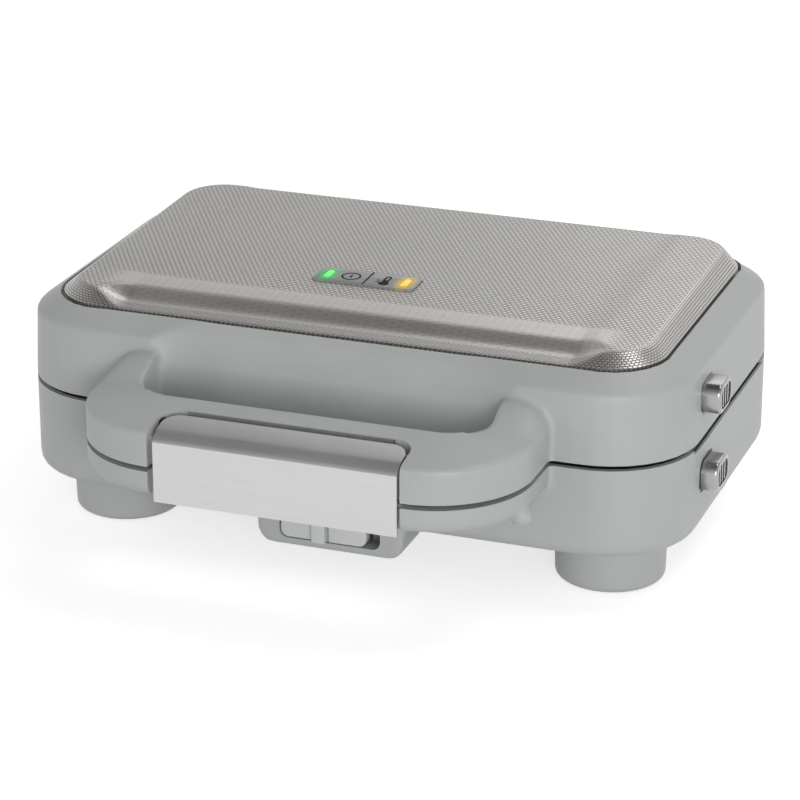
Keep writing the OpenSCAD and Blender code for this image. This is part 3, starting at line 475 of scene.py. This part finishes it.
def arm(side):
    """Arm of the upper handle, which rises to a rounded arch where it meets the lid."""
    low = [(ARM_OUT, 60), (ARM_OUT, 85.6), (103.0, 86.6), (100.5, 87.8), (95.5, 88.9), (90, 89.7),
           (ARM_IN, 90.4), (ARM_IN, 60)]
    high = [(ARM_OUT, 60), (ARM_OUT, 84.0), (102.8, 89.0), (99.8, 93.4), (95.4, 96.4), (89, 97.6),
            (ARM_IN, 97.4), (ARM_IN, 60)]
    loops = []
    for i in range(13):
        y = -26 + 35 * i / 12
        loops.append([(side * x, y, z) for x, z in mixed(low, high, ease((y + 24) / 25))])
    return loft(loops)


def scoop(back=0.0):
    """Room in front of the lid that the fingers reach into."""
    curve = ((60, 0), (82.4, 0), (91.4, 1), (99.4, 2.6), (106.1, 5.2), (111.2, 9), (116, 13))
    return loft([level(resample(outline(-120.5, 120.5, 4 + y + back - 120, 4 + y + back, 60, 16, 400), 96), z)
                 for z, y in curve])


def button_hole(z):
    """Opening for a release button, and the shallow relief round it."""
    return [prism(outline(BUTTON_Y - 10.3 - grow, BUTTON_Y + 10.3 + grow, z - 7.3 - grow, z + 7.3 + grow,
                          4.8 + grow, 6, 40), start, 163, "x")
            for grow, start in ((0, 148), (1, 159.3))]


def latch_seat():
    """Room of the latch in the front and the top of the handle, undercut behind its flange."""
    return (box((-LATCH_X, -REACH - 3, 50), (LATCH_X, FACE_Y, 120)),
            prism(outline(-LATCH_X, LATCH_X, -REACH - 30, LATCH_BACK, 10), LATCH_FLOOR, 120),
            prism(outline(10 - LATCH_X, LATCH_X - 10, -62, LATCH_BACK + 3.4, 3), LATCH_FLOOR, 89.9))


def lid():
    """Upper shell with the upper half of the handle, hollow and open below."""
    body = shape("lid_form", loft([level(plan(i), z) for z, i in (
        (60, 0), (LID_Z, 0), (CREASE_Z, 1.2), (CREASE_Z + 1.2, 2.3), (SHOULDER_Z, 12.6), (112.6, 15.4))]))
    carve(body, scoop())
    handle = grip([(60, 0), (EDGE_Z, 0)] + [(roof(i), i) for i in (1.2, 4, 8, 13, 20, 28, 33.9)])
    carve(handle, box((-200, 6, 50), (200, 90, 120)))
    form = shape("lid_moulding", *[mesh_of(o) for o in (body, handle)], arm(-1), arm(1))
    melt(form, 1.25, 4)
    room = shape("room", loft([level(plan(i), z) for z, i in ((50, WALL), (100.4, 3.9), (106.8, 17.2))]))
    carve(room, scoop(WALL))
    gap = 1.6  # shadow line round the panel
    recess = outline(-PANEL_X - gap, PANEL_X + gap, PANEL_Y[0] - gap, PANEL_Y[1] + gap, PANEL_R + gap, 16)
    carve(form, box((-200, -90, 40), (200, 250, LID_Z)), mesh_of(room), prism(recess, SHOULDER_Z - 3, 120),
          *button_hole(BUTTON_Z[1]), *latch_seat(),
          rod(-LATCH_PIN_HALF, LATCH_PIN_HALF, *LATCH_PIN, LATCH_PIN_BORE))
    for x in (-HINGE_X, HINGE_X):
        carve(form, rod(x - 12, x + 12, HINGE_Y, SEAM_Z, EAR_R),
              box((x - 12, HINGE_Y - 10, 71.3), (x + 12, HINGE_Y, 74.9)), add=True)
        carve(form, rod(x - 20, x + 20, HINGE_Y, SEAM_Z, PIN_BORE))
    place(form, "shell_plastic", "lid", "lid_shell")


def base():
    """Lower shell with the lower half of the handle, the lock's housing and a dark strip in each side groove
    beside the seam, painted shade of the groove.
    """
    body = loft([level(plan(i), z) for z, i in ((26, 5), (26.7, 2.5), (28.5, 0.7), (31, 0), (80, 0))])
    handle = carve(grip([(57, 4), (57.5, 2.4), (58.6, 1), (61, 0), (80, 0)]), box((-200, 6, 40), (200, 90, 120)))
    housing = soften(prism(outline(-35.5, 35.5, 11, 45, 8, 10, 80), 0.4, 28, "y"), 1.2)
    peg = soften(prism(circle(101.3, -31, 5.0), 53, 60), 2.2, 4, 60)
    form = shape("base_moulding", body, mesh_of(handle), housing, peg)
    melt(form, 1.35, 4)
    room = loft([level(plan(WALL), z) for z in (FLOOR_Z, 90)])
    lock_slot = prism(outline(-24.5, 24.5, 15, 25.4, 4, 8, 60), -3, 13, "y")
    lock_neck, lock_room = box((-4.5, 0, 18), (11, 9, 22)), box((-16, 8, 14.5), (24.5, 14, 25.9))
    gland_hole = prism(circle(0, 46, 6.1), 190, 206, "y")
    carve(form, box((-200, -90, RIM_Z), (200, 250, 100)), room, lock_slot, lock_neck, lock_room,
          *button_hole(BUTTON_Z[0]), latch_seat()[0], gland_hole)
    groove, groove_shade_strips = (37, 160), []
    for side in (-1, 1):
        for i in range(-3, 4):
            x = side * 74 + i * 7
            vent = outline(x - 1.5, x + 1.5, 72.5, 128.5, 1.4, 4, 80)
            carve(form, prism(vent, 20, 31))
        for y in (17, 184):
            x = side * 62
            screw_well = outline(x - 3.6, x + 3.6, y - 3.6, y + 3.6, 3.6, 8)
            carve(form, prism(screw_well, 20, 28))
        carve(form, sided(side, (158.7, groove[0], 66.9), (163, groove[1], 80)),
              sided(side, (155, groove[0], 62), (158.8, groove[1], 80)))
        for x in (side * HINGE_X - 17.4, side * HINGE_X + 17.4):
            carve(form, rod(x - 5, x + 5, HINGE_Y, SEAM_Z, EAR_R),
                  box((x - 5, HINGE_Y - 10, 64.5), (x + 5, HINGE_Y, 67.3)), add=True)
        carve(form, rod(side * HINGE_X - 26, side * HINGE_X + 26, HINGE_Y, SEAM_Z, PIN_BORE))
        left, right = sorted((side * 156, side * 157.9))
        # Dark strip in place of the shell's own lip: painted shade in the side groove
        groove_shade_strips.append(soften(prism(outline(left, right, *groove, 0.9, 6, 200), 62.4, 69.5), 0.3, 2, 60))
    hook_lip = [(-62, 59.5), (-63.8, 59.5), (-63.8, 60.5), (FACE_Y, 62.9), (-62, 62.9)]
    carve(form, prism(hook_lip, -40, 40, "x"), add=True)
    place(form, "shell_plastic", "base", "base_shell")
    # The dark strip pieces paint the side grooves' shade
    place(shape("seam_shade_strips", *groove_shade_strips), "frame_plastic", "base")


# ---- The panel and its lamp strip


def soft_least(a, b, k):
    """The smaller of two numbers, rounded over where they differ by less than k."""
    h = max(k - abs(a - b), 0.0) / k
    return min(a, b) - h * h * k / 4


def rise(y):
    """The panel climbs a little from its front step to the rear."""
    return CLIMB * min(max((y - CLIMB_Y[0]) / (CLIMB_Y[1] - CLIMB_Y[0]), 0), 1)


def panel_height(x, y, inset):
    """Height of the pressed sheet: a bevel round it, and a long step along the front."""
    top = PANEL_Z + rise(y)
    bevel = PANEL_RIM_Z + (top - PANEL_RIM_Z) * soft_least(inset / 7.0, 1.0, 0.22)
    d = y - PANEL_Y[0]
    front = PANEL_RIM_Z + 0.4 * min(d / 9, 1) + 4.9 * ease((d - 9) / 13) + 0.7 * ease((d - 20) / 12) + rise(y)
    return min(soft_least(bevel, front + 7.5 * ease((abs(x) - 106) / 24), 2.0), top)


def panel():
    """Pressed sheet on the lid, with a skirt under its rim and an opening for the lamp strip."""
    def ring(inset):
        return outline(inset - PANEL_X, PANEL_X - inset, PANEL_Y[0] + inset, PANEL_Y[1] - inset,
                       PANEL_R - inset, 14, runs=(170, 50))

    insets = ([0.0, 0.25, 0.7, 1.4] + [2 + 0.7 * i for i in range(8)] + [7.5, 8.2, 9, 10, 11.5, 13, 14] +
              [15 + 0.9 * i for i in range(12)] + [26, 28, 30, 33, 38, 46])
    skirt = [level(ring(1.6), z) for z in (108.5, 110.5)]
    sheet = shape("pressed_panel", loft(skirt + [[(x, y, panel_height(x, y, inset)) for x, y in ring(inset)]
                                                 for inset in insets]))
    x0, x1, y0, y1 = STRIP
    carve(sheet, prism(outline(x0 - 0.2, x1 + 0.2, y0 - 0.2, y1 + 0.2, 2.4), 100, 120))
    place(sheet, "panel_steel", "lid", "top_panel", crease=40)


def tilted(bm):
    """Follows the rise of the panel."""
    for vert in bm.verts:
        vert.co.z += rise(vert.co.y)
    return bm


def bezel():
    """Grey strip with two slots, the lens in each, and the marks for power and heat between them."""
    strip = shape("lamp_bezel", soften(prism(outline(*STRIP, 2.2, 8, 60), 109.4, 117.3), 0.35, 2, 60))
    for x, name, slot, node in ((LAMP_X[0], "power_lens", "lens_green", "power_lamp"),
                                (LAMP_X[1], "ready_lens", "lens_amber", "ready_lamp")):
        slit, pane = [outline(x - wide, x + wide, LAMP_Y - deep, LAMP_Y + deep, r, 8, 20)
                      for wide, deep, r in ((1.9, 5, 1.9), (1.7, 4.8, 1.6))]
        carve(strip, prism(slit, 100, 120))
        place(shape(name, tilted(soften(prism(pane, 112, 117.5), 0.5, 3, 60))), slot, "lid", node)
    place(shape("lamp_bezel", tilted(mesh_of(strip))), "bezel_grey", "lid", "indicator_bezel")

    low, high = 117.0, 117.36  # the marks stand just proud of the strip
    ring = carve(shape("ring", prism(circle(-16.3, LAMP_Y, 4.7), low, high)),
                 prism(circle(-16.3, LAMP_Y, 3.8), 110, 120))
    tube = carve(shape("tube", prism(outline(-0.5, 2.5, 69, 78.2, 1.5, 8, 20), low, high)),
                 prism(outline(0.35, 1.65, 73, 77.3, 0.65, 8, 20), 110, 120))
    bulb = carve(shape("bulb", prism(circle(1.0, 69, 2.5), low, high)), mesh_of(tube), add=True)
    marks = [mesh_of(ring), mesh_of(bulb), box((-8.4, 65, low), (-7.6, 81, high)),
             prism([(-16.75, 71.2), (-15.9, 71.2), (-15.9, 75), (-16.75, 75)], low, high),
             box((-3.4, 69.6, low), (-1.6, 70.4, high)), box((-3.4, 72, low), (-1.8, 72.7, high))]
    place(shape("lamp_marks", *[tilted(bm) for bm in marks]), "pad_rubber", "lid")


# ---- The moving pieces

def latch():
    """Folded plate over the bar of the handle, its two rear corners rounded."""
    top = [(-49.0, 89.7), (-53, 89.0), (-57, 88.1), (-60.4, 87.2), (-61.6, 86.75), (-62.8, 86.1),
           (-65.2, 84.2), (-66.1, 83.3), (-66.5, 82.6), (-66.6, 81.8), (-66.6, 54.6)]
    under = [(-65.2, 54.6), (-65.2, 81.9), (-64.9, 82.8), (-64.0, 83.6), (-61.8, 85.1), (-60.4, 85.8),
             (-57, 86.7), (-49.0, 88.3)]
    plate = shape("folded_latch_plate", prism(top + under, -56, 57, "x"))
    for side in (-1, 1):
        kept = [(side * x, y) for x, y in outline(-100, 56.5 + side / 2, -90, -49, 8, 8, 200)][::side]
        waste = carve(shape("waste", sided(side, (40, -60, 80), (60, -40, 95))), prism(kept, 80, 95))
        carve(plate, mesh_of(waste))
    place(plate, "latch_steel", "latch", "latch_plate", crease=20)


def button(name, z, x0, body, node):
    """Rounded metal cap with a bevelled rim and three upright ribs in its sunk face."""
    rim = outline(BUTTON_Y - 10.2, BUTTON_Y + 10.2, z - 7.2, z + 7.2, 5.6, 10, 60)
    cap = shape(name, soften(prism(rim, x0, 168, "x"), 1.5, 5, 60))
    carve(cap, prism(outline(BUTTON_Y - 8, BUTTON_Y + 8, z - 5, z + 5, 3.6, 8, 60), 166.6, 170, "x"))
    for y in (BUTTON_Y - 4, BUTTON_Y, BUTTON_Y + 4):
        carve(cap, prism(outline(y - 0.7, y + 0.7, z - 4.6, z + 4.6, 0.65, 5, 60), 165, 167.7, "x"), add=True)
    place(cap, "button_metal", body, node)


def slider():
    """Lock slider with a raised thumb rib and a groove beside it."""
    face = outline(-23.9, 17.7, 15.3, 25.1, 3.8, 8, 80)
    plate = shape("plate", soften(prism(face, 0.8, 5.7, "y"), 0.3, 2, 60))
    carve(plate, box((-1.4, -3, 10), (-0.4, 2.2, 30)))
    rib = soften(box((-7.9, -2.4, 15.4), (-1.5, 1.8, 24.9)), 0.35, 2)
    place(shape("lock_knob", mesh_of(plate), rib), "slider_plastic", "lock", "lock_slider")


# ---- Pieces

lid()
base()
panel()
bezel()
latch()
button("lower_button_cap", BUTTON_Z[0], 157.1, "lower_release", "lower_release_button")
button("upper_button_cap", BUTTON_Z[1], 155.9, "upper_release", "upper_release_button")
slider()


# ---- Stage, light and camera

def stage():
    """Plain floor that the lens and the metal see white, a room brighter low down, and soft lamps."""
    bpy.ops.mesh.primitive_plane_add(size=30)
    floor = bpy.context.object
    floor.name = "floor"
    look = Look("plain floor", Roughness=0.9, Specular_IOR_Level=0.0)
    look.set(Base_Color=look.blend(tint(214, 214, 214), tint(218, 218, 218), look.noise(1.2).span(0.3, 0.7)))
    look.node("LightPath")
    seen, mirrored, through = [Val(look, look.last.outputs[name])
                               for name in ("Is Camera Ray", "Is Glossy Ray", "Is Transmission Ray")]
    look.set(Emission_Color=(1, 1, 1, 1), Emission_Strength=seen.most(mirrored).most(through) * 0.66)
    floor.data.materials.append(look.mat)

    world = bpy.data.worlds.new("soft room")
    bpy.context.scene.world = world
    world.use_nodes = True
    tree = world.node_tree
    where, axes, fall = [tree.nodes.new("ShaderNode" + kind)
                         for kind in ("TexCoord", "SeparateXYZ", "MapRange")]
    for key, value in {"From Min": 0.03, "From Max": 0.95, "To Min": 1.12, "To Max": 0.1}.items():
        fall.inputs[key].default_value = value
    tree.links.new(where.outputs["Generated"], axes.inputs[0])
    tree.links.new(axes.outputs["Z"], fall.inputs["Value"])
    tree.links.new(fall.outputs["Result"], tree.nodes["Background"].inputs["Strength"])
    tree.nodes["Background"].inputs["Color"].default_value = (1, 1, 1, 1)

    middle = Vector((0, 0, 0.06))
    for name, spot, size, watts in (("key", (1.15, -2.0, 0.5), 0.8, 19.5),
                                    ("over", (0.85, 0.3, 1.9), 0.7, 6),
                                    ("back", (0.2, 1.7, 1.7), 1.6, 9)):
        light = bpy.data.lights.new(name, "AREA")
        light.size, light.energy = size, watts
        lamp = bpy.data.objects.new(name, light)
        bpy.context.collection.objects.link(lamp)
        lamp.location = spot
        lamp.rotation_euler = (Vector(spot) - middle).to_track_quat("Z", "Y").to_euler()


def camera():
    """Looks at the object from where the photograph was taken."""
    data = bpy.data.cameras.new("photo view")
    data.lens, data.sensor_width, data.clip_end = 141.72, 36, 100
    cam = bpy.data.objects.new("photo view", data)
    bpy.context.collection.objects.link(cam)
    az, el = math.radians(19.99), math.radians(21.46)
    back = Vector((math.sin(az) * math.cos(el), -math.cos(az) * math.cos(el), math.sin(el)))
    cam.location = Vector((-0.01008, 0.03734, 0.04346)) + back * 1.51996
    cam.rotation_euler = back.to_track_quat("Z", "Y").to_euler()
    bpy.context.scene.camera = cam
    bpy.context.scene.view_settings.view_transform = "Standard"


stage()
camera()
